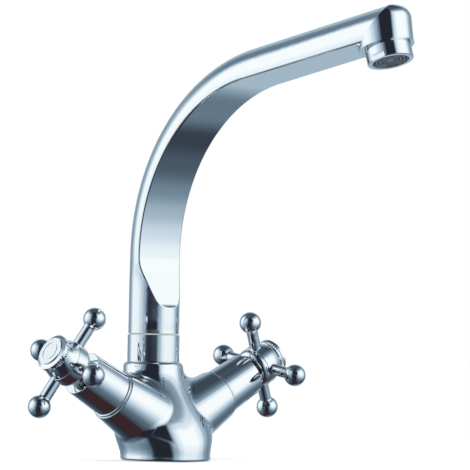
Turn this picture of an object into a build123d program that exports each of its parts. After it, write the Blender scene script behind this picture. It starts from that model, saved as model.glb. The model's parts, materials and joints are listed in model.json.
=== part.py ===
from build123d import *
from math import cos, radians, sin, sqrt, tan
import os

# A two handle basin mixer with a tall swivelling spout, in millimetres, +Z up.
# The origin is the centre of the base on the deck. The spout points to -Y,
# the hot arm to -X (left) and the cold arm to +X (right).
# Places along an arm are counted from the point where the two arm axes cross.
# Threads are plain cylinders at their outer diameter.

# Clearances
running_gap = 0.06  # a shaft in the bore that it turns in, on the radius
seal_gap = 0.02  # a rubber ring against the wall that slides past it
thread_gap = 0.05  # a screwed part in its threaded hole, on the radius
free_gap = 0.25  # parts that pass each other without touching
turning_gap = 0.05  # between two end faces that turn on each other
overshoot = 1.0  # a cut runs this far past the face that it opens

# Body casting: a round base that leans back into the neck, with two raised arms
base_r = 25.4
base_edge_r = 1.2
neck_y = 12.2  # the neck stands behind the middle of the base
neck_top_z = 54.5
neck_top_r = 16.7
neck_edge_r = 2.6
arm_rise = 27.9  # degrees above level
arm_axis_y = 1.0
arm_axis_z = 16.0  # height at which the two arm axes cross
arm_length = 43.2
arm_root = 5.0
arm_root_r = 19.0
arm_end_r = 14.6
arm_edge_r = 0.7
arm_blend_r = 7.0
# Trunk sections: share of the height, share of the lean, half width, half depth
trunk_sections = [
    (0.165, 0.09, 26.6, 26.4),
    (0.312, 0.22, 28.4, 26.0),
    (0.477, 0.40, 26.2, 23.6),
    (0.697, 0.69, 20.0, 19.4),
    (0.862, 0.92, 17.4, 17.2),
]

# Waterways, stud hole and seal groove in the body
inlet_x = 8.0
inlet_y = 5.0
inlet_thread_r = 5.0
inlet_thread_depth = 12.0
inlet_way_r = 3.5
seat_way_r = 4.75
seat_way_start = 8.0
valve_chamber_r = 10.3
mixing_way_r = 3.5
neck_way_r = 6.5
neck_way_bottom_z = 34.0
base_seal_inner_r = 19.5
base_seal_width = 3.5
base_seal_depth = 2.4

# Mounting kit under the deck
deck_thickness = 25.0
stud_y = -12.5
stud_r = 4.0
stud_depth = 14.0  # length of stud inside the body
stud_below_nut = 10.0
stud_chamfer = 0.5
clamp_r = 27.0
clamp_slot_width = 28.0
clamp_slot_y = -5.0  # the slot runs from here out of the rear
rubber_clamp_thickness = 3.0
steel_clamp_thickness = 2.0
nut_width = 13.0  # across flats
nut_length = 20.0

# Valve cartridges
valve_thread_r = 10.4
valve_thread_length = 10.2
valve_sleeve_r = 8.5
valve_sleeve_length = 8.1
valve_cavity_r = 7.55
valve_seat_drop = 0.9  # from the sleeve's end down to the seat in the body
valve_flange_r = 11.2
valve_flange_thickness = 1.4
valve_hex_width = 17.0
valve_hex_height = 5.4
valve_neck_r = 8.9
valve_neck_length = 13.0
valve_top_r = 7.6
valve_top_length = 2.5
window_width = 7.0
window_height = 3.0
seat_seal_thickness = 2.5
seat_seal_inner_r = 5.4
disc_thickness = 2.8
disc_hub_r = 2.6
disc_port_r = 5.3
disc_port_angle = 80.0
disc_opening_angle = 84.0
disc_lug_width = 3.0
disc_lug_depth = 0.6
moving_disc_r = 7.0

# Spindles
spindle_r = 5.0
spindle_foot_thickness = 2.4
spindle_key_width = 3.0
spindle_key_length = 11.0
spindle_key_height = 1.1
spindle_square = 7.0
spindle_square_length = 8.3
spindle_ring_section_r = 0.75
spindle_ring_places = (8.8, 11.8)  # above the body's rim
handle_screw_r = 2.0
handle_screw_thread = 10.0
stop_ring_groove = 0.5
stop_ring_r = 6.1
stop_ring_thickness = 1.2
stop_ring_opening = 60.0
stop_lug_r = 7.3
stop_lug_angle = 24.0
stop_lug_turn = 200.0  # where the lug stands when the valve is shut
stop_margin = 2.0
stop_crown_inner_r = 6.4
valve_travel = 90.0

# Bonnets
bonnet_length = 25.1
bonnet_bead_r = 14.1
bonnet_bead_width = 1.5
bonnet_bead_edge_r = 0.6
bonnet_foot_r = 13.4
bonnet_end_r = 12.5
bonnet_wall = 1.8
bonnet_opening_r = 8.3
bonnet_ring_start = 12.8  # above the body's rim
bonnet_ring_length = 6.0
bonnet_end_edge_r = 0.3

# Cross handles
handle_gap = 4.3  # between bonnet and hub
hub_rear_r = 9.7
hub_shoulder = (1.4, 1.3)  # a point of the round shoulder, outward and forward
hub_shoulder_length = 4.2
hub_r = 11.7
hub_band_length = 5.6
hub_band_step = 0.25
hub_front_r = 9.6
hub_front_length = 6.4
hub_front_bulge = 0.22
hub_rear_bore_r = 8.6
hub_rear_bore_depth = 3.4
hub_web = 1.5
hub_front_bore_r = 7.5
spoke_place = 7.4  # spoke axis forward of the hub's rear face
spoke_r = 3.25
spoke_tenon_r = 2.4
spoke_seat = 9.4  # the spoke's shoulder, from the hub's axis
spoke_tenon_length = 3.2
ball_r = 6.2
ball_reach = 28.0
ball_fillet_r = 1.4
spoke_count = 4
handle_rest_turn = {-1: -15.0, 1: 12.4}
screw_head_r = 3.8
screw_head_height = 2.4
screw_socket_width = 3.0
screw_socket_depth = 1.6
cap_r = 10.3
cap_height = 3.2
cap_front_r = 8.2
cap_front_height = 0.7
cap_plug_wall = 1.9
cap_plug_length = 2.4
cap_knurl_height = 1.6
cap_knurl_depth = 0.3
cap_knurl_count = 48
index_disc_r = 7.95
index_disc_seat = 0.7
index_disc_thickness = 1.5
index_groove_r = 5.4
index_groove_width = 0.5
index_groove_depth = 0.2

# Neck, swivel nipple and its rings
collar_r = 14.6
collar_height = 15.1
collar_bore_gap = 0.2
collar_edge_r = 0.3
nipple_thread_r = 9.0
nipple_thread_length = 12.5
nipple_flange_r = 12.0
nipple_flange_thickness = 3.6
nipple_r = 10.0
nipple_journal_length = 16.4
nipple_bore_r = 6.5
nipple_tip_chamfer = 0.6
nipple_ring_section_r = 0.95
nipple_ring_places = (5.4, 9.9)  # above the collar
clip_place = 13.9
clip_thickness = 1.2
clip_inner_r = 9.2
clip_outer_r = 10.7
clip_gap_angle = 40.0
groove_play = 0.15
glide_ring_thickness = 0.8
glide_ring_r = 13.9

# Spout: a round foot, scooped to a flat front, then a D shaped tube along an arc
# The tube's circle, and its flat forward of the circle's centre, change along its length
spout_foot_r = 14.3
spout_foot_height = 42.45
spout_blend_height = 15.0  # top part of the foot, where it swells to the tube's circle
spout_foot_steps = 8  # sections that the foot is lofted through
spout_lean = 2.0  # the tube's centre stands this far forward of the neck's axis
spout_start_r = 15.4
spout_start_flat = 2.1
spout_bend_end_r = 15.1
spout_bend_end_flat = 3.1
spout_end_r = 14.3
spout_end_flat = 3.9
spout_edge_r = 1.0
spout_bend_r = 95.3
spout_rise = 8.4  # degrees, of the straight stretch
spout_reach = 180.6  # outlet ahead of the neck's axis
spout_wall = 2.6
spout_bore_height = 16.55
scoop_lean = 21.3
scoop_top_r = 23.0
scoop_length = 18.7
scoop_toe_r = 5.0
scoop_toe_turn = 66.0
riser_way_r = 5.8
riser_way_back = 4.8

# Outlet
outlet_tilt = 16.5  # degrees forward of straight down
outlet_drop = 2.5  # rim centre below the tube's flat
barrel_back = 1.1  # the barrel's centre stands this far behind the aerator's axis
nose_edge_r = 6.5
nose_top_gap = 0.02  # between the tube's top and the rounded end's level
outlet_groin_r = 2.0
outlet_lip_step = 0.4
outlet_lip_height = 1.0
outlet_block_length = 16.0  # solid end of the tube behind the outlet
outlet_way_r = 4.6
outlet_way_height = 10.0
outlet_way_length = 12.0
aerator_r = 12.0
aerator_thread_r = 11.9
aerator_thread_depth = 7.8
aerator_height = 8.0
aerator_bore_r = 10.6
aerator_lip_r = 9.6
aerator_lip_height = 1.8
aerator_flat_width = 8.0
aerator_flat_height = 3.2
aerator_flat_turn = 10.0  # degrees, of the left flat towards the front
aerator_edge_r = 0.4
washer_thickness = 1.2
washer_inner_r = 9.2
outlet_throat_r = 9.5
outlet_throat_height = 8.0
insert_face_recess = 0.7
insert_ring_count = 4
insert_ring_width = 0.8
insert_ring_depth = 1.0
insert_core_r = 2.2

# Places along an arm
rim = arm_length
thread_start = rim - valve_thread_length
sleeve_start = thread_start - valve_sleeve_length
seat = sleeve_start - valve_seat_drop
seal_top = seat + seat_seal_thickness
fixed_disc_top = seal_top + disc_thickness
moving_disc_start = fixed_disc_top + turning_gap
moving_disc_top = moving_disc_start + disc_thickness
foot_top = moving_disc_top + spindle_foot_thickness
cavity_top = foot_top + free_gap
flange_top = rim + valve_flange_thickness
hex_top = flange_top + valve_hex_height
valve_neck_top = hex_top + valve_neck_length
valve_top = valve_neck_top + valve_top_length
stop_ring_start = valve_top + free_gap
bonnet_end = rim + bonnet_length
hub_rear = bonnet_end + handle_gap
spoke_line = hub_rear + spoke_place
band_start = hub_rear + hub_shoulder_length
band_end = band_start + hub_band_length
hub_front = band_end + hub_front_length
hub_socket_start = hub_rear + hub_rear_bore_depth
square_start = hub_socket_start - free_gap
square_end = square_start + spindle_square_length
web_start = square_end + free_gap
web_end = web_start + hub_web
cap_front = hub_front + cap_height

# Heights on the neck
collar_top_z = neck_top_z + collar_height
glide_top_z = collar_top_z + glide_ring_thickness
spout_bottom_z = glide_top_z + turning_gap
tube_start_z = spout_bottom_z + spout_foot_height

arm_crossing = Vector(0, arm_axis_y, arm_axis_z)
neck_axis = Axis((0, neck_y, 0), (0, 0, 1))
# Plane through the neck's axis, local x the radius and local y the height
neck_plane = Plane(origin=(0, neck_y, 0), x_dir=(1, 0, 0), z_dir=(0, -1, 0))
# The spout's middle plane, local x forward of the neck's axis and local y the height
spout_plane = Plane(origin=(0, neck_y, 0), x_dir=(0, -1, 0), z_dir=(-1, 0, 0))


def arm_direction(side):
    return Vector(side * cos(radians(arm_rise)), 0, sin(radians(arm_rise)))


def arm_axis(side):
    return Axis(arm_crossing, arm_direction(side))


def arm_up(side, turn=0):
    """The direction square to an arm's axis that points up, turned about the axis."""
    up = Vector(-side * sin(radians(arm_rise)), 0, cos(radians(arm_rise)))
    return up.rotate(Axis((0, 0, 0), arm_direction(side)), turn)


def along_arm(side, turn=0):
    """Plane through an arm's axis, local x the radius and local y the place along the arm."""
    up = arm_up(side, turn)
    return Plane(origin=arm_crossing, x_dir=up, z_dir=up.cross(arm_direction(side)))


def across_arm(side, place, turn=0):
    """Plane square to an arm's axis at a place along it, facing out of the body."""
    centre = arm_crossing + arm_direction(side) * place
    return Plane(origin=centre, x_dir=arm_up(side, turn), z_dir=arm_direction(side))


def save(piece, node):
    piece.part.label = node
    export_step(piece.part, f"parts/{node}.step")


def make_body_casting():
    chamber_top = seat + (thread_start - seat) / 2
    with BuildPart() as body:
        # The trunk, lofted up its leaning sections
        with BuildSketch(Plane((0, 0, 0), x_dir=(0, 1, 0), z_dir=(0, 0, 1))):
            Circle(base_r)
        for height, lean, half_width, half_depth in trunk_sections:
            centre = (0, lean * neck_y, height * neck_top_z)
            with BuildSketch(Plane(centre, x_dir=(0, 1, 0), z_dir=(0, 0, 1))):
                Ellipse(half_depth, half_width)
        with BuildSketch(Plane((0, neck_y, neck_top_z), x_dir=(0, 1, 0), z_dir=(0, 0, 1))):
            Circle(neck_top_r)
        loft()
        # The two arms and the hollows where they grow out of the trunk
        for side in (-1, 1):
            with BuildSketch(along_arm(side)):
                with BuildLine():
                    Polyline(
                        (0, arm_root), (arm_root_r, arm_root), (arm_end_r, rim), (0, rim), close=True
                    )
                make_face()
            revolve(axis=arm_axis(side))
        junctions = [
            edge
            for edge in body.edges()
            if edge.geom_type not in (GeomType.CIRCLE, GeomType.LINE)
            and base_edge_r < edge.center().Z < neck_top_z - neck_edge_r
            and abs(edge.center().X) > base_edge_r
        ]
        fillet(junctions, arm_blend_r)
        fillet(body.edges().group_by(Axis.Z)[-1], neck_edge_r)
        fillet(body.edges().filter_by(GeomType.CIRCLE).sort_by(Axis.X)[0], arm_edge_r)
        fillet(body.edges().filter_by(GeomType.CIRCLE).sort_by(Axis.X)[-1], arm_edge_r)
        fillet(body.edges().group_by(Axis.Z)[0], base_edge_r)
        for side in (-1, 1):
            # Threaded bore, chamber and seat way for one valve cartridge
            with BuildSketch(along_arm(side)):
                with BuildLine():
                    Polyline(
                        (0, seat_way_start),
                        (seat_way_r, seat_way_start),
                        (seat_way_r, seat),
                        (valve_chamber_r, seat),
                        (valve_chamber_r, thread_start),
                        (valve_thread_r + thread_gap, thread_start),
                        (valve_thread_r + thread_gap, rim + overshoot),
                        (0, rim + overshoot),
                        close=True,
                    )
                make_face()
            revolve(axis=arm_axis(side), mode=Mode.SUBTRACT)
            # Supply inlet, drilled up into the seat way
            inlet_top = arm_axis_z + inlet_x * tan(radians(arm_rise))
            with Locations((side * inlet_x, inlet_y, 0)):
                Cylinder(
                    inlet_thread_r,
                    inlet_thread_depth,
                    align=(Align.CENTER, Align.CENTER, Align.MIN),
                    mode=Mode.SUBTRACT,
                )
                Cylinder(
                    inlet_way_r,
                    inlet_top,
                    align=(Align.CENTER, Align.CENTER, Align.MIN),
                    mode=Mode.SUBTRACT,
                )
            # Mixing way, from the top of the valve chamber to the neck
            way_start = (
                arm_crossing
                + arm_direction(side) * chamber_top
                + arm_up(side) * (valve_chamber_r - mixing_way_r)
            )
            way_end = Vector(0, neck_y, neck_way_bottom_z + neck_way_r)
            with BuildSketch(Plane(origin=way_start, z_dir=way_end - way_start)):
                Circle(mixing_way_r)
            extrude(amount=(way_end - way_start).length, mode=Mode.SUBTRACT)
        # Neck bore, with the thread for the swivel nipple above the waterway
        thread_bottom_z = neck_top_z - nipple_thread_length
        with BuildSketch(neck_plane):
            with BuildLine():
                Polyline(
                    (0, neck_way_bottom_z),
                    (neck_way_r, neck_way_bottom_z),
                    (neck_way_r, thread_bottom_z),
                    (nipple_thread_r + thread_gap, thread_bottom_z),
                    (nipple_thread_r + thread_gap, neck_top_z + overshoot),
                    (0, neck_top_z + overshoot),
                    close=True,
                )
            make_face()
        revolve(axis=neck_axis, mode=Mode.SUBTRACT)
        # Stud hole and seal groove in the underside
        with Locations((0, stud_y, 0)):
            Cylinder(
                stud_r + thread_gap,
                stud_depth,
                align=(Align.CENTER, Align.CENTER, Align.MIN),
                mode=Mode.SUBTRACT,
            )
        with BuildSketch(Plane.XY):
            Circle(base_seal_inner_r + base_seal_width)
            Circle(base_seal_inner_r, mode=Mode.SUBTRACT)
        extrude(amount=base_seal_depth, mode=Mode.SUBTRACT)
    return body


def make_base_seal():
    with BuildPart() as base_seal:
        with BuildSketch(Plane.XY):
            Circle(base_seal_inner_r + base_seal_width - seal_gap)
            Circle(base_seal_inner_r + seal_gap, mode=Mode.SUBTRACT)
        extrude(amount=base_seal_depth)
    return base_seal


def make_mounting_stud():
    nut_bottom_z = -(
        deck_thickness + rubber_clamp_thickness + steel_clamp_thickness + nut_length
    )
    with BuildPart() as stud:
        with BuildSketch(Plane((0, stud_y, nut_bottom_z - stud_below_nut))):
            Circle(stud_r)
        extrude(amount=stud_depth + stud_below_nut - nut_bottom_z)
        chamfer(stud.edges().group_by(Axis.Z)[0], stud_chamfer)
    return stud


def make_clamp_plate(top_z, thickness):
    """One horseshoe plate of the clamp, open to the rear for the supply hoses."""
    with BuildPart() as plate:
        with BuildSketch(Plane((0, 0, top_z - thickness))):
            Circle(clamp_r)
            with Locations((0, clamp_slot_y)):
                Rectangle(
                    clamp_slot_width,
                    2 * clamp_r,
                    align=(Align.CENTER, Align.MIN),
                    mode=Mode.SUBTRACT,
                )
            with Locations((0, stud_y)):
                Circle(stud_r + free_gap, mode=Mode.SUBTRACT)
        extrude(amount=thickness)
        fillet(plate.edges().filter_by(Axis.Z).group_by(Axis.Y)[-1], thickness)
    return plate


def make_mounting_nut():
    top_z = -(deck_thickness + rubber_clamp_thickness + steel_clamp_thickness)
    with BuildPart() as nut:
        with BuildSketch(Plane((0, stud_y, top_z - nut_length))):
            RegularPolygon(nut_width / 2, 6, major_radius=False)
            Circle(stud_r + thread_gap, mode=Mode.SUBTRACT)
        extrude(amount=nut_length)
    return nut


def make_valve_body(side):
    """The brass cartridge shell, screwed into the arm and open below for the discs."""
    with BuildPart() as valve:
        with BuildSketch(along_arm(side)):
            with BuildLine():
                Polyline(
                    (valve_cavity_r, sleeve_start),
                    (valve_sleeve_r, sleeve_start),
                    (valve_sleeve_r, thread_start),
                    (valve_thread_r, thread_start),
                    (valve_thread_r, rim),
                    (valve_flange_r, rim),
                    (valve_flange_r, flange_top),
                    (valve_neck_r, flange_top),
                    (valve_neck_r, valve_neck_top),
                    (valve_top_r, valve_neck_top),
                    (valve_top_r, valve_top),
                    (spindle_r + running_gap, valve_top),
                    (spindle_r + running_gap, cavity_top),
                    (valve_cavity_r, cavity_top),
                    close=True,
                )
            make_face()
        revolve(axis=arm_axis(side))
        # Spanner hexagon
        with BuildSketch(across_arm(side, flange_top)):
            RegularPolygon(valve_hex_width / 2, 6, major_radius=False)
            Circle(valve_neck_r - free_gap, mode=Mode.SUBTRACT)
        extrude(amount=valve_hex_height)
        # Outlet windows beside the moving disc, and notches for the fixed disc's lugs
        window_top = thread_start - free_gap
        with BuildSketch(across_arm(side, window_top - window_height)):
            Rectangle(3 * valve_sleeve_r, window_width)
        extrude(amount=window_height, mode=Mode.SUBTRACT)
        with BuildSketch(across_arm(side, sleeve_start)):
            Rectangle(disc_lug_width + free_gap, 3 * valve_sleeve_r)
        extrude(amount=fixed_disc_top - sleeve_start, mode=Mode.SUBTRACT)
        # Crown on the top, whose two ends stop the lug of the stop ring
        opening = valve_travel + stop_lug_angle + 2 * stop_margin
        crown_turn = stop_lug_turn + valve_travel + stop_lug_angle / 2 + stop_margin
        with BuildSketch(along_arm(side, crown_turn)):
            with Locations((stop_crown_inner_r, valve_top)):
                Rectangle(
                    valve_top_r - stop_crown_inner_r,
                    stop_ring_thickness + 2 * free_gap,
                    align=(Align.MIN, Align.MIN),
                )
        revolve(axis=arm_axis(side), revolution_arc=360 - opening)
    return valve


def make_seat_seal(side):
    with BuildPart() as seal:
        with BuildSketch(across_arm(side, seat)):
            Circle(valve_cavity_r - seal_gap)
            Circle(seat_seal_inner_r, mode=Mode.SUBTRACT)
        extrude(amount=seat_seal_thickness)
    return seal


def make_fixed_disc(side):
    """Ceramic disc with two closed ports, held from turning by two lugs."""
    with BuildPart() as disc:
        with BuildSketch(across_arm(side, seal_top)):
            Circle(valve_cavity_r - free_gap / 2)
            Rectangle(disc_lug_width, 2 * (valve_cavity_r + disc_lug_depth))
        extrude(amount=disc_thickness)
        for turn in (0, 180):
            with BuildSketch(along_arm(side, turn - disc_port_angle / 2)):
                with Locations((disc_hub_r, seal_top)):
                    Rectangle(
                        disc_port_r - disc_hub_r, disc_thickness, align=(Align.MIN, Align.MIN)
                    )
            revolve(axis=arm_axis(side), revolution_arc=disc_port_angle, mode=Mode.SUBTRACT)
    return disc


def make_moving_disc(side):
    """Ceramic disc with two openings to its rim, shut over the ports at rest."""
    with BuildPart() as disc:
        with BuildSketch(across_arm(side, moving_disc_start)):
            Circle(moving_disc_r)
        extrude(amount=disc_thickness)
        for turn in (90, 270):
            with BuildSketch(along_arm(side, turn - disc_opening_angle / 2)):
                with Locations((disc_hub_r, moving_disc_start)):
                    Rectangle(moving_disc_r, disc_thickness, align=(Align.MIN, Align.MIN))
            revolve(axis=arm_axis(side), revolution_arc=disc_opening_angle, mode=Mode.SUBTRACT)
        # Slot for the key under the spindle's foot
        with BuildSketch(across_arm(side, moving_disc_top - spindle_key_height)):
            Rectangle(spindle_key_length + free_gap, spindle_key_width + 2 * thread_gap)
        extrude(amount=spindle_key_height, mode=Mode.SUBTRACT)
    return disc


def make_spindle(side):
    with BuildPart() as spindle:
        with BuildSketch(along_arm(side)):
            with BuildLine():
                Polyline(
                    (0, moving_disc_top),
                    (moving_disc_r, moving_disc_top),
                    (moving_disc_r, foot_top),
                    (spindle_r, foot_top),
                    (spindle_r, square_start),
                    (0, square_start),
                    close=True,
                )
            make_face()
        revolve(axis=arm_axis(side))
        # Key that turns the moving disc, and square that the hub sits on
        with BuildSketch(across_arm(side, moving_disc_top - spindle_key_height)):
            Rectangle(spindle_key_length, spindle_key_width)
        extrude(amount=spindle_key_height)
        with BuildSketch(across_arm(side, square_start, handle_rest_turn[side])):
            Rectangle(spindle_square, spindle_square)
        extrude(amount=spindle_square_length)
        # Grooves for the two rubber rings and for the stop ring
        ring_outer_r = spindle_r + running_gap - seal_gap
        with BuildSketch(along_arm(side)):
            for place in spindle_ring_places:
                with Locations((ring_outer_r - 2 * spindle_ring_section_r, rim + place)):
                    Rectangle(
                        3 * spindle_ring_section_r,
                        2 * spindle_ring_section_r + 2 * groove_play,
                        align=(Align.MIN, Align.CENTER),
                    )
            with Locations((spindle_r - stop_ring_groove, stop_ring_start - thread_gap)):
                Rectangle(
                    2 * stop_ring_groove,
                    stop_ring_thickness + 2 * thread_gap,
                    align=(Align.MIN, Align.MIN),
                )
        revolve(axis=arm_axis(side), mode=Mode.SUBTRACT)
        # Threaded hole for the handle screw
        with BuildSketch(across_arm(side, square_end)):
            Circle(handle_screw_r + thread_gap)
        extrude(amount=-handle_screw_thread - overshoot, mode=Mode.SUBTRACT)
    return spindle


def make_spindle_rings(side):
    """The two rubber rings that seal the spindle in the cartridge."""
    centre_r = spindle_r + running_gap - seal_gap - spindle_ring_section_r
    with BuildPart() as rings:
        for place in spindle_ring_places:
            with BuildSketch(along_arm(side)):
                with Locations((centre_r, rim + place)):
                    Circle(spindle_ring_section_r)
            revolve(axis=arm_axis(side))
    return rings


def make_stop_ring(side):
    """Spring ring in the spindle's groove, with the lug that limits the turn."""
    with BuildPart() as ring:
        ring_turn = stop_lug_turn - 180 + stop_ring_opening / 2
        with BuildSketch(along_arm(side, ring_turn)):
            with Locations((spindle_r - stop_ring_groove, stop_ring_start)):
                Rectangle(
                    stop_ring_r - spindle_r + stop_ring_groove,
                    stop_ring_thickness,
                    align=(Align.MIN, Align.MIN),
                )
        revolve(axis=arm_axis(side), revolution_arc=360 - stop_ring_opening)
        with BuildSketch(along_arm(side, stop_lug_turn - stop_lug_angle / 2)):
            with Locations((spindle_r + free_gap, stop_ring_start)):
                Rectangle(
                    stop_lug_r - spindle_r - free_gap,
                    stop_ring_thickness,
                    align=(Align.MIN, Align.MIN),
                )
        revolve(axis=arm_axis(side), revolution_arc=stop_lug_angle)
    return ring


def make_bonnet(side):
    """Chrome shroud, screwed down over the cartridge by the ring inside it."""
    inner_foot_r = bonnet_foot_r - bonnet_wall
    inner_end_r = bonnet_end_r - bonnet_wall
    skirt_start = rim + bonnet_bead_width
    end_inside = bonnet_end - bonnet_wall
    ring_start = rim + bonnet_ring_start
    ring_end = ring_start + bonnet_ring_length
    slope = (inner_end_r - inner_foot_r) / (end_inside - rim)
    ring_start_r = inner_foot_r + slope * (ring_start - rim)
    ring_end_r = inner_foot_r + slope * (ring_end - rim)
    thread_r = valve_neck_r + thread_gap
    with BuildPart() as bonnet:
        with BuildSketch(along_arm(side)):
            with BuildLine():
                Polyline(
                    (inner_foot_r, rim),
                    (bonnet_bead_r, rim),
                    (bonnet_bead_r, skirt_start),
                    (bonnet_foot_r, skirt_start),
                    (bonnet_end_r, bonnet_end),
                    (bonnet_opening_r, bonnet_end),
                    (bonnet_opening_r, end_inside),
                    (inner_end_r, end_inside),
                    (ring_end_r, ring_end),
                    (thread_r, ring_end),
                    (thread_r, ring_start),
                    (ring_start_r, ring_start),
                    close=True,
                )
            make_face()
        revolve(axis=arm_axis(side))
        rims = bonnet.edges().filter_by(GeomType.CIRCLE)
        fillet(
            rims.filter_by(lambda edge: abs(edge.radius - bonnet_bead_r) < thread_gap),
            bonnet_bead_edge_r,
        )
        fillet(
            rims.filter_by(lambda edge: abs(edge.radius - bonnet_end_r) < thread_gap),
            bonnet_end_edge_r,
        )
    return bonnet


def make_hub(side):
    """Handle hub: round shoulder, raised band and tapering front, on the spindle's square."""
    band_r = hub_r + hub_band_step
    shoulder_r = hub_rear_r + hub_shoulder[0]
    shoulder_place = hub_rear + hub_shoulder[1]
    bulge_r = (hub_r + hub_front_r) / 2 + hub_front_bulge
    bulge_place = band_end + hub_front_length / 2
    with BuildPart() as hub:
        with BuildSketch(along_arm(side)):
            with BuildLine():
                Polyline((0, hub_front), (0, hub_rear), (hub_rear_r, hub_rear))
                ThreePointArc(
                    (hub_rear_r, hub_rear), (shoulder_r, shoulder_place), (hub_r, band_start)
                )
                Polyline(
                    (hub_r, band_start), (band_r, band_start), (band_r, band_end), (hub_r, band_end)
                )
                ThreePointArc((hub_r, band_end), (bulge_r, bulge_place), (hub_front_r, hub_front))
                Line((hub_front_r, hub_front), (0, hub_front))
            make_face()
        revolve(axis=arm_axis(side))
        # Rear recess, square socket, screw hole and front recess
        with BuildSketch(across_arm(side, hub_rear)):
            Circle(hub_rear_bore_r)
        extrude(amount=hub_rear_bore_depth, mode=Mode.SUBTRACT)
        with BuildSketch(across_arm(side, hub_rear, handle_rest_turn[side])):
            Rectangle(spindle_square + 2 * thread_gap, spindle_square + 2 * thread_gap)
        extrude(amount=web_start - hub_rear, mode=Mode.SUBTRACT)
        with BuildSketch(across_arm(side, hub_front)):
            Circle(handle_screw_r + free_gap)
        extrude(amount=web_start - hub_front, mode=Mode.SUBTRACT)
        with BuildSketch(across_arm(side, hub_front)):
            Circle(hub_front_bore_r)
        extrude(amount=web_end - hub_front, mode=Mode.SUBTRACT)
        # Stepped holes for the spokes
        for number in range(spoke_count):
            spoke = spoke_plane(side, number)
            with BuildSketch(spoke.offset(spoke_seat)):
                Circle(spoke_r + thread_gap)
            extrude(amount=hub_r, mode=Mode.SUBTRACT)
            with BuildSketch(spoke.offset(spoke_seat)):
                Circle(spoke_tenon_r + thread_gap)
            extrude(amount=-spoke_tenon_length - thread_gap, mode=Mode.SUBTRACT)
    return hub


def spoke_plane(side, number):
    """Plane at the hub's centre that faces out along one spoke."""
    turn = handle_rest_turn[side] + 360 * number / spoke_count
    centre = arm_crossing + arm_direction(side) * spoke_line
    return Plane(origin=centre, x_dir=arm_direction(side), z_dir=arm_up(side, turn))


def make_spokes(side):
    """The cross arms: each a rod that swells by a small fillet into its ball."""
    fillet_centre_r = spoke_r + ball_fillet_r
    fillet_reach = ball_r + ball_fillet_r
    fillet_place = ball_reach - sqrt(fillet_reach**2 - fillet_centre_r**2)
    share = ball_fillet_r / fillet_reach
    ball_start = (
        fillet_centre_r * (1 - share),
        fillet_place + (ball_reach - fillet_place) * share,
    )
    with BuildPart() as spokes:
        for number in range(spoke_count):
            spoke = spoke_plane(side, number)
            profile_plane = Plane(origin=spoke.origin, x_dir=spoke.x_dir, z_dir=-spoke.y_dir)
            with BuildSketch(profile_plane):
                with BuildLine():
                    Polyline(
                        (0, ball_reach + ball_r),
                        (0, spoke_seat - spoke_tenon_length),
                        (spoke_tenon_r, spoke_seat - spoke_tenon_length),
                        (spoke_tenon_r, spoke_seat),
                        (spoke_r, spoke_seat),
                        (spoke_r, fillet_place),
                    )
                    TangentArc((spoke_r, fillet_place), ball_start, tangent=(0, 1))
                    ThreePointArc(ball_start, (ball_r, ball_reach), (0, ball_reach + ball_r))
                make_face()
            revolve(axis=Axis(spoke.origin, spoke.z_dir))
    return spokes


def make_handle_screw(side):
    with BuildPart() as screw:
        with BuildSketch(across_arm(side, web_end)):
            Circle(handle_screw_r)
        extrude(amount=-handle_screw_thread)
        with BuildSketch(across_arm(side, web_end)):
            Circle(screw_head_r)
        extrude(amount=screw_head_height)
        with BuildSketch(across_arm(side, web_end + screw_head_height)):
            RegularPolygon(screw_socket_width / 2, 6, major_radius=False)
        extrude(amount=-screw_socket_depth, mode=Mode.SUBTRACT)
    return screw


def make_index_cap(side):
    """Cap over the handle screw, with a knurled edge and a seat for the index disc."""
    plug_r = hub_front_bore_r - thread_gap
    plug_inner_r = plug_r - cap_plug_wall
    plug_end = hub_front - cap_plug_length
    seat_place = cap_front + cap_front_height - index_disc_seat
    with BuildPart() as cap:
        with BuildSketch(along_arm(side)):
            with BuildLine():
                Polyline(
                    (0, hub_front),
                    (plug_inner_r, hub_front),
                    (plug_inner_r, plug_end),
                    (plug_r, plug_end),
                    (plug_r, hub_front),
                    (cap_r, hub_front),
                    (cap_r, cap_front),
                    (cap_front_r, cap_front + cap_front_height),
                    (index_disc_r + thread_gap, cap_front + cap_front_height),
                    (index_disc_r + thread_gap, seat_place),
                    (0, seat_place),
                    close=True,
                )
            make_face()
        revolve(axis=arm_axis(side))
        # Knurl, cut as fine notches round the rear half of the edge
        with BuildSketch(across_arm(side, hub_front)):
            with PolarLocations(cap_r, cap_knurl_count):
                Rectangle(2 * cap_knurl_depth, 2 * cap_knurl_depth, rotation=45)
        extrude(amount=cap_knurl_height, mode=Mode.SUBTRACT)
    return cap


def make_index_disc(side):
    """Plain disc in the middle of the cap, with one fine ring for a mark."""
    seat_place = cap_front + cap_front_height - index_disc_seat
    with BuildPart() as disc:
        with BuildSketch(across_arm(side, seat_place)):
            Circle(index_disc_r)
        extrude(amount=index_disc_thickness)
        with BuildSketch(across_arm(side, seat_place + index_disc_thickness)):
            Circle(index_groove_r)
            Circle(index_groove_r - index_groove_width, mode=Mode.SUBTRACT)
        extrude(amount=-index_groove_depth, mode=Mode.SUBTRACT)
    return disc


def make_neck_collar():
    flange_bottom_z = collar_top_z - nipple_flange_thickness
    bore_r = nipple_thread_r + collar_bore_gap
    with BuildPart() as collar:
        with BuildSketch(neck_plane):
            with BuildLine():
                Polyline(
                    (bore_r, neck_top_z),
                    (collar_r, neck_top_z),
                    (collar_r, collar_top_z),
                    (nipple_flange_r + thread_gap, collar_top_z),
                    (nipple_flange_r + thread_gap, flange_bottom_z),
                    (bore_r, flange_bottom_z),
                    close=True,
                )
            make_face()
        revolve(axis=neck_axis)
        rims = collar.edges().filter_by(GeomType.CIRCLE)
        fillet(rims.filter_by(lambda edge: abs(edge.radius - collar_r) < thread_gap), collar_edge_r)
    return collar


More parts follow.
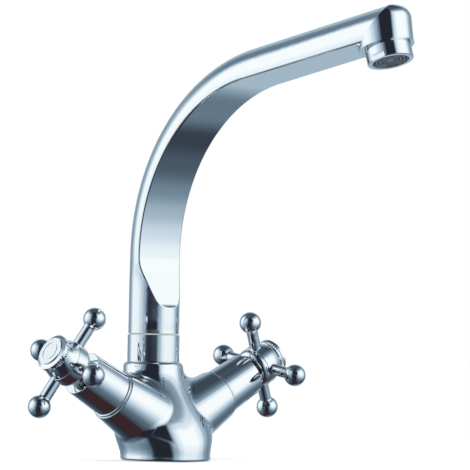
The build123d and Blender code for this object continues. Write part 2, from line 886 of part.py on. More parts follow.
def make_swivel_nipple():
    """Tube that clamps the collar to the body and carries the spout on its journal."""
    bottom_z = neck_top_z - nipple_thread_length
    flange_bottom_z = collar_top_z - nipple_flange_thickness
    top_z = collar_top_z + nipple_journal_length
    ring_groove_r = nipple_r + running_gap - seal_gap - 2 * nipple_ring_section_r
    with BuildPart() as nipple:
        with BuildSketch(neck_plane):
            with BuildLine():
                Polyline(
                    (nipple_bore_r, bottom_z),
                    (nipple_thread_r, bottom_z),
                    (nipple_thread_r, flange_bottom_z),
                    (nipple_flange_r, flange_bottom_z),
                    (nipple_flange_r, collar_top_z),
                    (nipple_r, collar_top_z),
                    (nipple_r, top_z - nipple_tip_chamfer),
                    (nipple_r - nipple_tip_chamfer, top_z),
                    (nipple_bore_r, top_z),
                    close=True,
                )
            make_face()
        revolve(axis=neck_axis)
        with BuildSketch(neck_plane):
            for place in nipple_ring_places:
                with Locations((ring_groove_r, collar_top_z + place)):
                    Rectangle(
                        3 * nipple_ring_section_r,
                        2 * nipple_ring_section_r + 2 * groove_play,
                        align=(Align.MIN, Align.CENTER),
                    )
            with Locations((clip_inner_r, collar_top_z + clip_place)):
                Rectangle(
                    nipple_r, clip_thickness + 2 * thread_gap, align=(Align.MIN, Align.CENTER)
                )
        revolve(axis=neck_axis, mode=Mode.SUBTRACT)
    return nipple


def make_spout_rings():
    """The two rubber rings between the swivel nipple and the spout."""
    centre_r = nipple_r + running_gap - seal_gap - nipple_ring_section_r
    with BuildPart() as rings:
        for place in nipple_ring_places:
            with BuildSketch(neck_plane):
                with Locations((centre_r, collar_top_z + place)):
                    Circle(nipple_ring_section_r)
            revolve(axis=neck_axis)
    return rings


def make_spout_clip():
    """Spring clip in the nipple's groove that keeps the spout from lifting off."""
    half_gap = radians(clip_gap_angle / 2)
    clip_end = Vector(sin(half_gap), cos(half_gap), 0)
    end_plane = Plane(
        origin=(0, neck_y, 0), x_dir=clip_end, z_dir=clip_end.cross(Vector(0, 0, 1))
    )
    with BuildPart() as clip:
        with BuildSketch(end_plane):
            with Locations((clip_inner_r, collar_top_z + clip_place)):
                Rectangle(
                    clip_outer_r - clip_inner_r, clip_thickness, align=(Align.MIN, Align.CENTER)
                )
        revolve(axis=neck_axis, revolution_arc=clip_gap_angle - 360)
    return clip


def make_glide_ring():
    with BuildPart() as ring:
        with BuildSketch(Plane((0, neck_y, collar_top_z))):
            Circle(glide_ring_r)
            Circle(nipple_r + thread_gap, mode=Mode.SUBTRACT)
        extrude(amount=glide_ring_thickness)
    return ring


# The spout's line, followed along the middle of the tube's flat front
flat_front = spout_lean + spout_start_flat
bend_turn = 90 - spout_rise
bend_end_front = flat_front + spout_bend_r * (1 - cos(radians(bend_turn)))
bend_end_z = tube_start_z + spout_bend_r * sin(radians(bend_turn))
outlet_z = bend_end_z + (spout_reach - bend_end_front) * tan(radians(spout_rise)) - outlet_drop
outlet_centre = Vector(0, neck_y - spout_reach, outlet_z)
tube_forward = Vector(0, -cos(radians(spout_rise)), sin(radians(spout_rise)))
tube_down = Vector(0, -sin(radians(spout_rise)), -cos(radians(spout_rise)))
rim_forward = Vector(0, -cos(radians(outlet_tilt)), sin(radians(outlet_tilt)))
# The barrel of the outlet stands square to the tube, a little behind the aerator's axis
barrel_rim = outlet_centre - rim_forward * barrel_back
barrel_drop = outlet_drop * cos(radians(spout_rise)) + barrel_back * sin(
    radians(outlet_tilt - spout_rise)
)
barrel_top = barrel_rim - tube_down * barrel_drop
straight_length = (neck_y - barrel_top.Y - bend_end_front) / cos(radians(spout_rise))
outlet_axis_direction = Vector(0, -sin(radians(outlet_tilt)), -cos(radians(outlet_tilt)))
outlet_axis = Axis(outlet_centre, outlet_axis_direction)
outlet_face_plane = Plane(origin=outlet_centre, x_dir=(1, 0, 0), z_dir=outlet_axis_direction)
flat_start_plane = Plane((0, neck_y - flat_front, tube_start_z), x_dir=(0, -1, 0), z_dir=(0, 0, 1))
# Plane through the outlet's axis, local x the radius and local y the way out of the rim
outlet_plane = Plane(
    origin=outlet_centre,
    x_dir=(1, 0, 0),
    z_dir=(0, cos(radians(outlet_tilt)), -sin(radians(outlet_tilt))),
)


def tube_section(plane, radius, flat, inset=0):
    """A circle cut off flat at the plane's origin, square to its local x, with round corners."""
    with BuildSketch(plane) as section:
        with Locations((-flat, 0)):
            Circle(radius - inset)
        with Locations((-inset, 0)):
            Rectangle(
                radius, 3 * radius, align=(Align.MIN, Align.CENTER), mode=Mode.SUBTRACT
            )
        fillet(section.vertices(), spout_edge_r)
    return section.sketch


def make_tube(straight, inset=0):
    """The bend and a straight of the given length, with the section changing along both."""
    with BuildLine(spout_plane) as path:
        bend = JernArc(
            start=(flat_front, tube_start_z), tangent=(0, 1), radius=spout_bend_r, arc_size=-bend_turn
        )
    bend_end_plane = Plane(origin=bend @ 1, x_dir=tube_down, z_dir=tube_forward)
    start = tube_section(flat_start_plane, spout_start_r, spout_start_flat, inset)
    middle = tube_section(bend_end_plane, spout_bend_end_r, spout_bend_end_flat, inset)
    end = tube_section(bend_end_plane.offset(straight), spout_end_r, spout_end_flat, inset)
    with BuildPart() as tube:
        sweep(sections=[start, middle], path=path.line, multisection=True)
        loft(sections=[middle, end], ruled=True)
    return tube.part


def make_spout_foot():
    """Round foot that swells to the tube's circle and is scooped away to the tube's flat."""
    with BuildPart() as foot:
        for step in range(spout_foot_steps + 1):
            height = spout_foot_height * step / spout_foot_steps
            share = max(0, 1 - (spout_foot_height - height) / spout_blend_height)
            eased = share**2 * (3 - 2 * share)
            centre = (0, neck_y - eased * spout_lean, spout_bottom_z + height)
            with BuildSketch(Plane(centre)):
                Circle(spout_foot_r + eased * (spout_start_r - spout_foot_r))
        loft()
        with BuildSketch(spout_plane):
            with BuildLine():
                top = JernArc(
                    start=(flat_front, tube_start_z),
                    tangent=(0, -1),
                    radius=scoop_top_r,
                    arc_size=scoop_lean,
                )
                slope = PolarLine(top @ 1, scoop_length, direction=top % 1)
                toe = JernArc(
                    start=slope @ 1, tangent=slope % 1, radius=scoop_toe_r, arc_size=scoop_toe_turn
                )
                Polyline(
                    toe @ 1,
                    (2 * spout_start_r, (toe @ 1).Y),
                    (2 * spout_start_r, tube_start_z),
                    (flat_front, tube_start_z),
                )
            make_face()
        extrude(amount=2 * spout_start_r, both=True, mode=Mode.SUBTRACT)
        # Round the edges of the scoop, as the tube's corners are
        scoop_edges = (
            foot.edges(Select.LAST)
            .filter_by(Axis.X, reverse=True)
            .filter_by_position(Axis.Z, spout_bottom_z, tube_start_z - spout_edge_r)
        )
        fillet(scoop_edges, spout_edge_r)
    return foot.part


def make_outlet_nose():
    """The rounded end of the tube and the short barrel under it."""
    section_plane = Plane(
        origin=barrel_top - tube_down * spout_end_flat, x_dir=tube_down, z_dir=tube_forward
    )
    barrel_plane = Plane(origin=barrel_top, x_dir=(1, 0, 0), z_dir=tube_down)
    # Local x the distance from the barrel's axis, local y up from the tube's flat
    profile_plane = Plane(origin=barrel_top, x_dir=(1, 0, 0), z_dir=tube_forward)
    barrel_axis = Axis(barrel_top, -tube_down)
    nose_top = spout_end_flat + spout_end_r + nose_top_gap
    half_flat = sqrt(spout_end_r**2 - spout_end_flat**2)
    groin_middle = outlet_groin_r * (1 - sqrt(0.5))
    with BuildPart() as front:
        with BuildSketch(profile_plane):
            with BuildLine():
                Polyline(
                    (0, nose_top), (0, 0), (spout_end_r, 0), (spout_end_r, nose_top - nose_edge_r)
                )
                RadiusArc(
                    (spout_end_r, nose_top - nose_edge_r),
                    (spout_end_r - nose_edge_r, nose_top),
                    -nose_edge_r,
                )
                Line((spout_end_r - nose_edge_r, nose_top), (0, nose_top))
            make_face()
        revolve(axis=barrel_axis)
        # The section starts behind its plane and is cut back to it, because the two equal
        # rounds would otherwise only touch at the ends of their sides
        with BuildSketch(section_plane.offset(-overshoot)):
            Circle(spout_end_r)
            Rectangle(spout_end_flat, 2 * spout_end_r, align=(Align.MIN, Align.CENTER))
        extrude(amount=2 * spout_end_r, dir=tube_forward, mode=Mode.INTERSECT)
        split(bisect_by=section_plane)
    with BuildPart() as flare:
        # Hollow round under the flat, behind the barrel
        with BuildSketch(profile_plane):
            with BuildLine():
                Line((spout_end_r - overshoot, 0), (spout_end_r + outlet_groin_r, 0))
                ThreePointArc(
                    (spout_end_r + outlet_groin_r, 0),
                    (spout_end_r + groin_middle, -groin_middle),
                    (spout_end_r, -outlet_groin_r),
                )
                Polyline(
                    (spout_end_r, -outlet_groin_r),
                    (spout_end_r - overshoot, -outlet_groin_r),
                    (spout_end_r - overshoot, 0),
                )
            make_face()
        revolve(axis=barrel_axis, revolution_arc=180)
        with BuildSketch(barrel_plane.offset(-overshoot)):
            Rectangle(2 * (half_flat - spout_edge_r), 4 * spout_end_r)
        extrude(amount=2 * spout_end_r, mode=Mode.INTERSECT)
    with BuildPart() as nose:
        add(front.part)
        # The barrel runs up to the widest level of the tube
        with BuildSketch(barrel_plane.offset(-spout_end_flat)):
            Circle(spout_end_r)
        extrude(amount=2 * spout_end_r)
        add(flare.part)
        # Trim to the plane of the rim and add its lip
        with BuildSketch(outlet_face_plane):
            Rectangle(6 * spout_end_r, 6 * spout_end_r)
        extrude(amount=3 * spout_end_r, mode=Mode.SUBTRACT)
        with BuildSketch(Plane(origin=barrel_rim, z_dir=outlet_axis_direction)):
            Circle(spout_end_r + outlet_lip_step)
        extrude(amount=-outlet_lip_height)
    return nose


def make_spout():
    bore_r = nipple_r + running_gap
    bore_top_z = spout_bottom_z + spout_bore_height
    groove_r = clip_outer_r + groove_play
    clip_z = collar_top_z + clip_place
    with BuildPart() as spout:
        add(make_spout_foot())
        add(make_tube(straight_length))
        add(make_outlet_nose().part)
        # Waterway: inside the tube, down the riser, and over to the outlet
        add(make_tube(straight_length - outlet_block_length, spout_wall), mode=Mode.SUBTRACT)
        with BuildSketch(Plane((0, neck_y + riser_way_back, bore_top_z - overshoot))):
            Circle(riser_way_r)
        extrude(amount=tube_start_z - bore_top_z + 2 * overshoot, mode=Mode.SUBTRACT)
        way_start = (
            barrel_top
            - tube_forward * (outlet_block_length + overshoot)
            - tube_down * outlet_way_height
        )
        with BuildSketch(Plane(origin=way_start, z_dir=tube_forward)):
            Circle(outlet_way_r)
        extrude(amount=outlet_way_length, mode=Mode.SUBTRACT)
        # Bore on the swivel nipple, with the groove for the clip
        with BuildSketch(neck_plane):
            with BuildLine():
                Polyline(
                    (0, spout_bottom_z - overshoot),
                    (bore_r, spout_bottom_z - overshoot),
                    (bore_r, clip_z - clip_thickness / 2 - groove_play),
                    (groove_r, clip_z - clip_thickness / 2 - groove_play),
                    (groove_r, clip_z + clip_thickness / 2 + groove_play),
                    (bore_r, clip_z + clip_thickness / 2 + groove_play),
                    (bore_r, bore_top_z),
                    (0, bore_top_z),
                    close=True,
                )
            make_face()
        revolve(axis=neck_axis, mode=Mode.SUBTRACT)
        # Threaded outlet with a ledge for the washer
        washer_place = -aerator_thread_depth - washer_thickness
        with BuildSketch(outlet_plane):
            with BuildLine():
                Polyline(
                    (0, overshoot),
                    (aerator_thread_r + thread_gap, overshoot),
                    (aerator_thread_r + thread_gap, washer_place),
                    (outlet_throat_r, washer_place),
                    (outlet_throat_r, washer_place - outlet_throat_height),
                    (0, washer_place - outlet_throat_height),
                    close=True,
                )
            make_face()
        revolve(axis=outlet_axis, mode=Mode.SUBTRACT)
    return spout


def make_aerator_housing():
    with BuildPart() as housing:
        with BuildSketch(outlet_plane):
            with BuildLine():
                Polyline(
                    (aerator_bore_r, -aerator_thread_depth),
                    (aerator_thread_r, -aerator_thread_depth),
                    (aerator_thread_r, 0),
                    (aerator_r, 0),
                    (aerator_r, aerator_height),
                    (aerator_lip_r, aerator_height),
                    (aerator_lip_r, aerator_height - aerator_lip_height),
                    (aerator_bore_r, aerator_height - aerator_lip_height),
                    close=True,
                )
            make_face()
        revolve(axis=outlet_axis)
        rims = housing.edges().filter_by(GeomType.CIRCLE).sort_by(outlet_axis)
        fillet(
            rims.filter_by(lambda edge: abs(edge.radius - aerator_r) < thread_gap)[-1],
            aerator_edge_r,
        )
        # Two flats for a spanner
        flat_distance = sqrt(aerator_r**2 - (aerator_flat_width / 2) ** 2)
        key_start = aerator_height - aerator_flat_height
        key_plane = outlet_face_plane.offset(key_start).rotated((0, 0, aerator_flat_turn))
        with BuildSketch(key_plane):
            with Locations((flat_distance, 0)):
                Rectangle(aerator_r, 2 * aerator_r, align=(Align.MIN, Align.CENTER))
            with Locations((-flat_distance, 0)):
                Rectangle(aerator_r, 2 * aerator_r, align=(Align.MAX, Align.CENTER))
        extrude(amount=aerator_flat_height + overshoot, mode=Mode.SUBTRACT)
    return housing


def make_aerator_insert():
    """The plastic flow former, with round slots in its face."""
    face = aerator_height - insert_face_recess
    shoulder = aerator_height - aerator_lip_height
    with BuildPart() as insert:
        with BuildSketch(outlet_face_plane.offset(-aerator_thread_depth)):
            Circle(aerator_bore_r - thread_gap)
        extrude(amount=shoulder + aerator_thread_depth)
        with BuildSketch(outlet_face_plane.offset(shoulder)):
            Circle(aerator_lip_r - thread_gap)
        extrude(amount=face - shoulder)
        # Slots in the face, leaving thin rings between them
        pitch = (aerator_lip_r - insert_core_r) / insert_ring_count
        with BuildSketch(outlet_face_plane.offset(face)):
            for number in reversed(range(insert_ring_count)):
                inner_r = insert_core_r + number * pitch
                Circle(inner_r + pitch - insert_ring_width)
                Circle(inner_r, mode=Mode.SUBTRACT)
        extrude(amount=-insert_ring_depth, mode=Mode.SUBTRACT)
    return insert


def make_aerator_washer():
    with BuildPart() as washer:
        with BuildSketch(outlet_face_plane.offset(-aerator_thread_depth - washer_thickness)):
            Circle(aerator_thread_r - thread_gap)
            Circle(washer_inner_r, mode=Mode.SUBTRACT)
        extrude(amount=washer_thickness)
    return washer


os.makedirs("parts", exist_ok=True)

save(make_body_casting(), "body_casting")
save(make_base_seal(), "base_seal")
save(make_mounting_stud(), "mounting_stud")
save(make_clamp_plate(-deck_thickness, rubber_clamp_thickness), "rubber_horseshoe")
save(
    make_clamp_plate(-deck_thickness - rubber_clamp_thickness, steel_clamp_thickness),
    "steel_horseshoe",
)
save(make_mounting_nut(), "mounting_nut")

save(make_neck_collar(), "neck_collar")
save(make_swivel_nipple(), "swivel_nipple")
save(make_spout_rings(), "spout_o_rings")
save(make_spout_clip(), "spout_clip")
save(make_glide_ring(), "glide_ring")
save(make_spout(), "spout")
save(make_aerator_housing(), "aerator_housing")
save(make_aerator_insert(), "aerator_insert")
save(make_aerator_washer(), "aerator_washer")

for name, side in (("left", -1), ("right", 1)):
    save(make_valve_body(side), f"valve_body_{name}")
    save(make_seat_seal(side), f"seat_seal_{name}")
    save(make_fixed_disc(side), f"fixed_disc_{name}")
    save(make_moving_disc(side), f"moving_disc_{name}")
    save(make_spindle(side), f"spindle_{name}")
    save(make_spindle_rings(side), f"spindle_o_rings_{name}")
    save(make_stop_ring(side), f"stop_ring_{name}")
    save(make_bonnet(side), f"bonnet_{name}")
    save(make_hub(side), f"handle_hub_{name}")
    save(make_spokes(side), f"handle_arms_{name}")
    save(make_handle_screw(side), f"handle_screw_{name}")
    save(make_index_cap(side), f"index_cap_{name}")
    save(make_index_disc(side), f"index_disc_{name}")
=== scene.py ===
import json
from math import cos, degrees, radians, sin

import bpy
from mathutils import Matrix, Vector

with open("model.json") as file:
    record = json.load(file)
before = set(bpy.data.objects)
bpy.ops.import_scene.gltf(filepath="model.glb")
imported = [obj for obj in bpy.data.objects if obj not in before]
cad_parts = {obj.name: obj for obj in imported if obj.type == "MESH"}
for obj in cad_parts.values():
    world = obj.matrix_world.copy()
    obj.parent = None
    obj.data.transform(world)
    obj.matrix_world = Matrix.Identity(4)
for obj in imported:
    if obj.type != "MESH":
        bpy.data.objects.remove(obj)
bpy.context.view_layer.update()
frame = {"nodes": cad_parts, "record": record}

# Lengths are in metres, in the tap's own frame: the spout points to -Y, the hot handle to -X,
# and the origin is the middle of the base.

# Camera at the photograph's viewpoint, fitted to the ellipses of the base, bonnets and outlet
CAMERA_TURN, CAMERA_PITCH, CAMERA_ROLL = -42.2534, -2.5405, 1.04506  # degrees
CAMERA_DISTANCE = 1.42992
CAMERA_HEIGHT = 0.12632  # of the point on the tap's axis that it turns about
CAMERA_SIDE = 0.03655  # how far it then stands to the right
FOCAL_PIXELS, PHOTO_PIXELS = 2551.287, 470.0
SENSOR_WIDTH = 36.0  # in millimetres
FARTHEST_SEEN = 50.0

# Studio that the metal reflects, as brightness from 0 to 1 by direction. Compass angles run from
# +Y towards +X and heights up from the horizon, both in degrees, and the two tables multiply.
AROUND = [
    (-180, 0.85), (-166, 0.50), (-150, 0.35), (-120, 0.10), (-108, 0.18), (-98, 0.40),
    (-80, 0.70), (-62, 0.95), (-48, 1.00), (-28, 1.00), (-16, 0.62), (-2, 0.34), (12, 0.34),
    (35, 0.50), (58, 0.52), (74, 0.34), (88, 0.27), (103, 0.46), (118, 0.88), (132, 1.00), (170, 1.00),
    (180, 0.85),
]
UPWARD = [
    (-90, 0.03), (-75, 0.035), (-60, 0.085), (-50, 0.135), (-40, 0.17), (-30, 0.31), (-20, 0.51),
    (-10, 0.74), (0, 0.93), (10, 1.00), (32, 1.00), (41, 0.78), (50, 0.32), (60, 0.15), (72, 0.06),
    (90, 0.03),
]
# Patches over that: compass angle and height of the middle, half sizes, soft border, brightness,
# and how much of what lies under it a patch covers
PATCHES = [
    (62, -58, 26, 24, 12, 0.19, 1.0),  # light table behind, on the right
    (49, -21, 17, 13, 9, 0.48, 1.0),  # brighter strip beyond it
    (113, -32, 19, 26, 12, 0.03, 0.42),  # shade at the right, below the horizon
    (0, 36, 14, 11, 8, 0.20, 1.0),  # gap between the big soft box and the wall behind
    (0, 90, 200, 22, 10, 0.08, 1.0),  # ceiling
    (-139, 42, 26, 38, 5, 0.020, 1.0),  # dark panel on the camera's side, above the horizon
    (-131, -36, 26, 40, 7, 0.020, 1.0),  # and below it
]
# Colour of each brightness, bluest in the middle tones
TINTS = [
    (0.00, (0.000, 0.000, 0.000)), (0.03, (0.024, 0.030, 0.044)), (0.10, (0.069, 0.100, 0.137)),
    (0.25, (0.168, 0.250, 0.320)), (0.50, (0.385, 0.500, 0.590)), (0.75, (0.640, 0.750, 0.840)),
    (0.92, (0.840, 0.920, 0.949)), (1.00, (0.955, 1.000, 1.000)),
]
# Dark brown table straight below: its colour, half size and soft border in degrees
TABLE_COLOUR = (0.040, 0.020, 0.024)
TABLE_HALF, TABLE_SOFT = 23, 4

# Light on surfaces that are not glossy, and the white that the camera sees behind the tap
PLAIN_LIGHT = (0.72, 0.76, 0.80)
WHITE = (1.0, 1.0, 1.0)

# Floor of pale paper, which fades to the white background away from the tap
FLOOR_HALF = 20.0
FLOOR_LEVEL = -0.0004  # just below the base, so that no two faces share a plane
PAPER_COLOUR = (0.8, 0.8, 0.8)
PAPER_GLOW = 0.45
FADE_START, FADE_END = 0.15, 0.60  # distance from the origin

# Round lamps, aimed at the tap: place and power in watts
LAMP_DIAMETER = 0.8
LAMP_AIM = (0.0, -0.05, 0.1)
LAMPS = {
    "key": ((-0.9, -0.3, 1.5), 12),
    "fill": ((1.3, -1.0, 1.0), 6),
}

# Grain that every finish has
GRAIN_DETAIL = 3
ROUGHNESS_WANDER = 0.4  # share of the roughness that the grain changes
MOTTLE_START, MOTTLE_END = 0.3, 0.7  # grain levels of the darkest and the lightest colour


# Node helpers

def math_node(tree, operation, *values):
    """A Math node on numbers or sockets."""
    node = tree.nodes.new("ShaderNodeMath")
    node.operation = operation
    for socket, value in zip(node.inputs, values):
        if isinstance(value, (int, float)):
            socket.default_value = value
        else:
            tree.links.new(value, socket)
    return node.outputs[0]


def ramp_node(tree, factor, stops, interpolation="EASE"):
    """A colour ramp whose stops are pairs of place and grey level or colour."""
    node = tree.nodes.new("ShaderNodeValToRGB")
    ramp = node.color_ramp
    ramp.interpolation = interpolation
    while len(ramp.elements) < len(stops):
        ramp.elements.new(0.5)
    for element, (place, value) in zip(ramp.elements, stops):
        element.position = place
        element.color = (value, value, value, 1) if isinstance(value, (int, float)) else (*value, 1)
    tree.links.new(factor, node.inputs[0])
    return node.outputs[0]


def mix_colours(tree, factor, first, second):
    """A mix of two colours, each a tuple of three numbers or a socket."""
    node = tree.nodes.new("ShaderNodeMix")
    node.data_type = "RGBA"
    tree.links.new(factor, node.inputs[0])
    for socket, value in ((node.inputs[6], first), (node.inputs[7], second)):
        if isinstance(value, tuple):
            socket.default_value = (*value, 1)
        else:
            tree.links.new(value, socket)
    return node.outputs[2]


def mix_shaders(tree, factor, first, second):
    node = tree.nodes.new("ShaderNodeMixShader")
    for socket, value in zip(node.inputs, (factor, first, second)):
        tree.links.new(value, socket)
    return node.outputs[0]


def glow_shader(tree, strength):
    node = tree.nodes.new("ShaderNodeEmission")
    node.inputs["Strength"].default_value = strength
    return node.outputs[0]


def smooth_step(tree, value, start, end, before=0.0, after=1.0):
    """The level `before` up to `start` and `after` from `end` on, with an S curve between them."""
    node = tree.nodes.new("ShaderNodeMapRange")
    node.interpolation_type = "SMOOTHSTEP"
    tree.links.new(value, node.inputs["Value"])
    node.inputs["From Min"].default_value = start
    node.inputs["From Max"].default_value = end
    node.inputs["To Min"].default_value = before
    node.inputs["To Max"].default_value = after
    return node.outputs["Result"]


# Camera

def make_camera():
    turn, pitch, roll = radians(CAMERA_TURN), radians(CAMERA_PITCH), radians(CAMERA_ROLL)
    back = Vector((sin(turn) * cos(pitch), -cos(turn) * cos(pitch), sin(pitch)))
    right = Vector((cos(turn), sin(turn), 0.0))
    up = back.cross(right)
    rolled_right = right * cos(roll) + up * sin(roll)
    rolled_up = up * cos(roll) - right * sin(roll)
    place = Vector((0, 0, CAMERA_HEIGHT)) + back * CAMERA_DISTANCE + right * CAMERA_SIDE
    data = bpy.data.cameras.new("camera")
    data.sensor_fit = "HORIZONTAL"
    data.sensor_width = SENSOR_WIDTH
    data.lens = SENSOR_WIDTH * FOCAL_PIXELS / PHOTO_PIXELS
    data.clip_end = FARTHEST_SEEN
    camera = bpy.data.objects.new("camera", data)
    axes = Matrix((rolled_right, rolled_up, back)).transposed().to_4x4()
    camera.matrix_world = Matrix.Translation(place) @ axes
    bpy.context.scene.collection.objects.link(camera)
    bpy.context.scene.camera = camera


# Studio and white background

def band_mask(tree, angle, middle, half, soft, wraps):
    """1 within a band of angles and 0 outside it."""
    away = math_node(tree, "SUBTRACT", angle, middle)
    if wraps:
        away = math_node(tree, "WRAP", away, 180.0, -180.0)
    return smooth_step(tree, math_node(tree, "ABSOLUTE", away), half - soft, half + soft, 1.0, 0.0)


def studio_colour(tree, direction):
    """Colour that the metal sees in a direction."""
    split = tree.nodes.new("ShaderNodeSeparateXYZ")
    tree.links.new(direction, split.inputs[0])
    turn = math_node(tree, "ARCTAN2", split.outputs[0], split.outputs[1])
    compass = math_node(tree, "MULTIPLY", turn, degrees(1))
    height = math_node(tree, "MULTIPLY", math_node(tree, "ARCSINE", split.outputs[2]), degrees(1))
    along = math_node(tree, "ADD", math_node(tree, "DIVIDE", compass, 360.0), 0.5)
    lift = math_node(tree, "ADD", math_node(tree, "DIVIDE", height, 180.0), 0.5)
    around = ramp_node(tree, along, [(angle / 360 + 0.5, level) for angle, level in AROUND])
    upward = ramp_node(tree, lift, [(angle / 180 + 0.5, level) for angle, level in UPWARD])
    level = math_node(tree, "MULTIPLY", around, upward)
    for middle, middle_height, half, half_height, soft, patch_level, cover in PATCHES:
        mask = math_node(
            tree, "MULTIPLY",
            band_mask(tree, compass, middle, half, soft, True),
            band_mask(tree, height, middle_height, half_height, soft, False),
        )
        covered = math_node(tree, "MULTIPLY", mask, cover)
        shift = math_node(tree, "MULTIPLY", covered, math_node(tree, "SUBTRACT", patch_level, level))
        level = math_node(tree, "ADD", level, shift)
    cool = ramp_node(tree, level, TINTS, "LINEAR")
    below = band_mask(tree, height, -90, TABLE_HALF, TABLE_SOFT, False)
    return mix_colours(tree, below, cool, TABLE_COLOUR)


def make_world():
    world = bpy.data.worlds.new("studio")
    bpy.context.scene.world = world
    world.use_nodes = True
    tree = world.node_tree
    tree.nodes.clear()
    place = tree.nodes.new("ShaderNodeTexCoord")
    studio = studio_colour(tree, place.outputs["Generated"])
    path = tree.nodes.new("ShaderNodeLightPath")
    lit = mix_colours(tree, path.outputs["Is Glossy Ray"], PLAIN_LIGHT, studio)
    colour = mix_colours(tree, path.outputs["Is Camera Ray"], lit, WHITE)
    background = tree.nodes.new("ShaderNodeBackground")
    tree.links.new(colour, background.inputs[0])
    output = tree.nodes.new("ShaderNodeOutputWorld")
    tree.links.new(background.outputs[0], output.inputs[0])


# Floor, which takes a faint shadow near the tap

def paper_material():
    material = bpy.data.materials.new("floor")
    material.use_nodes = True
    tree = material.node_tree
    tree.nodes.clear()
    matt = tree.nodes.new("ShaderNodeBsdfDiffuse")
    matt.inputs[0].default_value = (*PAPER_COLOUR, 1)
    paper = tree.nodes.new("ShaderNodeAddShader")
    tree.links.new(matt.outputs[0], paper.inputs[0])
    tree.links.new(glow_shader(tree, PAPER_GLOW), paper.inputs[1])
    geometry = tree.nodes.new("ShaderNodeNewGeometry")
    distance = tree.nodes.new("ShaderNodeVectorMath")
    distance.operation = "LENGTH"
    tree.links.new(geometry.outputs["Position"], distance.inputs[0])
    far = smooth_step(tree, distance.outputs["Value"], FADE_START, FADE_END)
    faded = mix_shaders(tree, far, paper.outputs[0], glow_shader(tree, 1.0))
    path = tree.nodes.new("ShaderNodeLightPath")
    shown = mix_shaders(tree, path.outputs["Is Camera Ray"], matt.outputs[0], faded)
    output = tree.nodes.new("ShaderNodeOutputMaterial")
    tree.links.new(shown, output.inputs[0])
    return material


def make_floor():
    corners = [(x * FLOOR_HALF, y * FLOOR_HALF, FLOOR_LEVEL) for x, y in ((-1, -1), (1, -1), (1, 1), (-1, 1))]
    data = bpy.data.meshes.new("floor")
    data.from_pydata(corners, [], [(0, 1, 2, 3)])
    data.materials.append(paper_material())
    floor = bpy.data.objects.new("floor", data)
    bpy.context.scene.collection.objects.link(floor)
    floor.visible_glossy = False


# Lamps

def make_lamp(name, place, power):
    data = bpy.data.lights.new(name, "AREA")
    data.shape = "DISK"
    data.size = LAMP_DIAMETER
    data.energy = power
    lamp = bpy.data.objects.new(name, data)
    lamp.location = place
    lamp.rotation_euler = (Vector(LAMP_AIM) - Vector(place)).to_track_quat("-Z", "Y").to_euler()
    lamp.visible_camera = False
    lamp.visible_glossy = False
    bpy.context.scene.collection.objects.link(lamp)


# Finishes

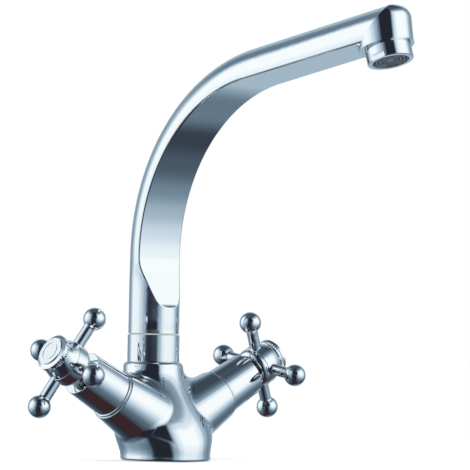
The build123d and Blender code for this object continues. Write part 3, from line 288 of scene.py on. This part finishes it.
def make_finish(name, colour, metallic, roughness, grain_scale, grain_height=0.0, mottle=0.0):
    """A finish whose roughness wanders a little, with a grain that may be felt or change the colour."""
    material = bpy.data.materials.new(name)
    material.use_nodes = True
    tree = material.node_tree
    shader = tree.nodes["Principled BSDF"]
    shader.inputs["Metallic"].default_value = metallic
    shader.inputs["Base Color"].default_value = (*colour, 1)
    place = tree.nodes.new("ShaderNodeTexCoord")
    noise = tree.nodes.new("ShaderNodeTexNoise")
    noise.inputs["Scale"].default_value = grain_scale
    noise.inputs["Detail"].default_value = GRAIN_DETAIL
    tree.links.new(place.outputs["Object"], noise.inputs["Vector"])
    grain = noise.outputs[0]
    if mottle:
        dark = tuple(channel * (1 - mottle) for channel in colour)
        light = tuple(min(1, channel * (1 + mottle)) for channel in colour)
        mottled = ramp_node(tree, grain, [(MOTTLE_START, dark), (MOTTLE_END, light)])
        tree.links.new(mottled, shader.inputs["Base Color"])
    wander = math_node(tree, "MULTIPLY", grain, roughness * ROUGHNESS_WANDER)
    rough = math_node(tree, "ADD", wander, roughness * (1 - ROUGHNESS_WANDER / 2))
    tree.links.new(rough, shader.inputs["Roughness"])
    if grain_height:
        bump = tree.nodes.new("ShaderNodeBump")
        bump.inputs["Distance"].default_value = grain_height
        tree.links.new(grain, bump.inputs["Height"])
        tree.links.new(bump.outputs[0], shader.inputs["Normal"])
    return material


def polished_chrome():
    return make_finish("polished_chrome", (0.96, 0.97, 0.98), metallic=1.0, roughness=0.02, grain_scale=6)


# Brass as a dull grey-brown plate, darker than the metal's own colour: that darkness is painted shade for the
# narrow gaps between bonnet and handle hub, where this part shows
def plated_brass_with_painted_shade():
    return make_finish(
        "plated_brass_with_painted_shade", (0.42, 0.38, 0.33), metallic=1.0, roughness=0.30,
        grain_scale=900, grain_height=0.00002, mottle=0.05,
    )


def zinc_plate():
    return make_finish(
        "zinc_plate", (0.58, 0.60, 0.63), metallic=1.0, roughness=0.34,
        grain_scale=1200, grain_height=0.00003, mottle=0.05,
    )


def black_rubber():
    return make_finish(
        "black_rubber", (0.022, 0.022, 0.024), metallic=0.0, roughness=0.62,
        grain_scale=2500, grain_height=0.00004, mottle=0.2,
    )


def lapped_ceramic():
    return make_finish(
        "lapped_ceramic", (0.86, 0.84, 0.78), metallic=0.0, roughness=0.2,
        grain_scale=1500, mottle=0.02,
    )


def white_nylon():
    return make_finish(
        "white_nylon", (0.82, 0.82, 0.78), metallic=0.0, roughness=0.4,
        grain_scale=1500, grain_height=0.00002, mottle=0.02,
    )


def grey_plastic():
    return make_finish(
        "grey_plastic", (0.13, 0.15, 0.18), metallic=0.0, roughness=0.4,
        grain_scale=1800, grain_height=0.00003, mottle=0.1,
    )


def finish_pieces():
    """Every piece of the tap takes the finish of its material slot."""
    finishes = {
        "chrome": polished_chrome(),
        "brass": plated_brass_with_painted_shade(),
        "zinc_steel": zinc_plate(),
        "black_rubber": black_rubber(),
        "white_ceramic": lapped_ceramic(),
        "white_nylon": white_nylon(),
        "grey_plastic": grey_plastic(),
    }
    slots = {entry["node"]: entry["material_slot"] for entry in frame["record"]["subparts"]}
    for name, piece in frame["nodes"].items():
        piece.data.materials.clear()
        piece.data.materials.append(finishes[slots[name]])


bpy.context.scene.view_settings.view_transform = "Standard"
make_camera()
make_world()
make_floor()
for name, (place, power) in LAMPS.items():
    make_lamp(name, place, power)
finish_pieces()
